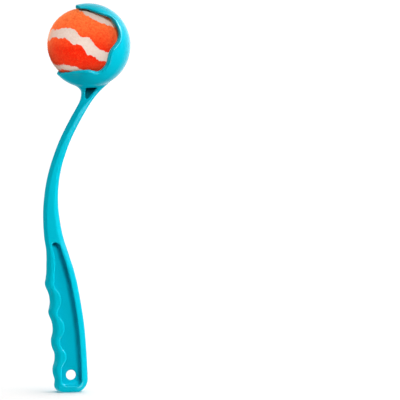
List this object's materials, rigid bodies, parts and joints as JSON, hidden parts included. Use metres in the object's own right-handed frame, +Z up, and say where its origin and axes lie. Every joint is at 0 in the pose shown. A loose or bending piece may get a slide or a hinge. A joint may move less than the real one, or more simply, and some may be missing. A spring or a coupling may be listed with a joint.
{
  "type": "dog ball launcher stick",
  "caption": "One-handed throwing stick with a scalloped finger grip, a springy bowed shaft and a snap-in cup that holds and releases a felt ball.",
  "frame": {"origin": "centre of the hang hole in the handle's web", "axes": "+Z up the stick towards the cup, +Y along the hang hole, the cup opens towards -X and 15 degrees up"},
  "size_m": [0.0793, 0.0714, 0.3484],
  "materials": {
    "moulding": "satin moulded polypropylene, turquoise",
    "rubber_core": "moulded natural rubber",
    "felt": "woolly needled felt, orange with wavy off-white stripes",
    "cement": "matte vulcanised cement line"
  },
  "bodies": {
    "handle": {"handle_frame": "moulding", "handle_web": "moulding", "lower_shaft": "moulding", "flex_shaft": "moulding"},
    "head": {"upper_shaft": "moulding", "neck": "moulding", "cup_shell": "moulding", "upper_lip": "moulding", "lower_lip": "moulding"},
    "ball": {"core_front": "rubber_core", "core_back": "rubber_core", "felt_panel_a": "felt", "felt_panel_b": "felt", "seam_cement": "cement"}
  },
  "joints": [
    {"name": "shaft_flex", "type": "hinge", "parent": "handle", "child": "head", "pos_m": [-0.01302, 0, 0.188], "axis": [0, 1, 0], "range_deg": [-10, 10], "stiffness_Nm_per_rad": 14, "deforming": ["flex_shaft"]},
    {"name": "ball_release", "type": "slide", "parent": "head", "child": "ball", "axis": [-0.9659, 0, 0.2588], "range_m": [0, 0.09], "deforming": ["upper_lip", "lower_lip"]}
  ]
}
